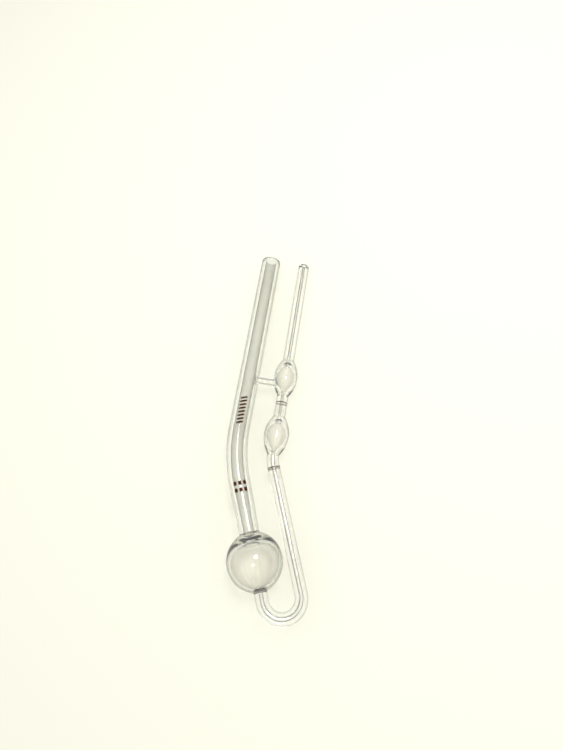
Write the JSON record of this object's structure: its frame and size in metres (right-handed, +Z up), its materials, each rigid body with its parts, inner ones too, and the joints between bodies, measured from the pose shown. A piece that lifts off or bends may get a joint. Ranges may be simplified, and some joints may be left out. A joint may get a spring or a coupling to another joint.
{
  "type": "glass capillary viscometer",
  "caption": "Glass U-tube capillary viscometer: bent fill tube, reservoir bulb, U bend, leaning capillary leg, two small bulbs with timing marks, and a suction tube, braced together.",
  "frame": {"origin": "centre of the base of the bounding box, on the bench the instrument lies on", "axes": "+Z up from the bench, +Y along the two parallel arms towards their mouths, +X from the fill arm towards the suction arm"},
  "size_m": [0.0658, 0.2502, 0.0344],
  "materials": {
    "glass": "polished",
    "enamel": "satin"
  },
  "bodies": {
    "root": {"fill_tube": "glass", "fill_bend": "glass", "fill_foot": "glass", "reservoir_bulb": "glass", "outlet_tube": "glass", "u_bend": "glass", "capillary_tube": "glass", "capillary_bend": "glass", "timing_bulb": "glass", "neck_tube": "glass", "upper_bulb": "glass", "suction_tube": "glass", "brace_rod": "glass", "upper_timing_mark": "enamel", "lower_timing_mark": "enamel", "maker_mark": "enamel", "size_mark": "enamel"}
  },
  "joints": []
}
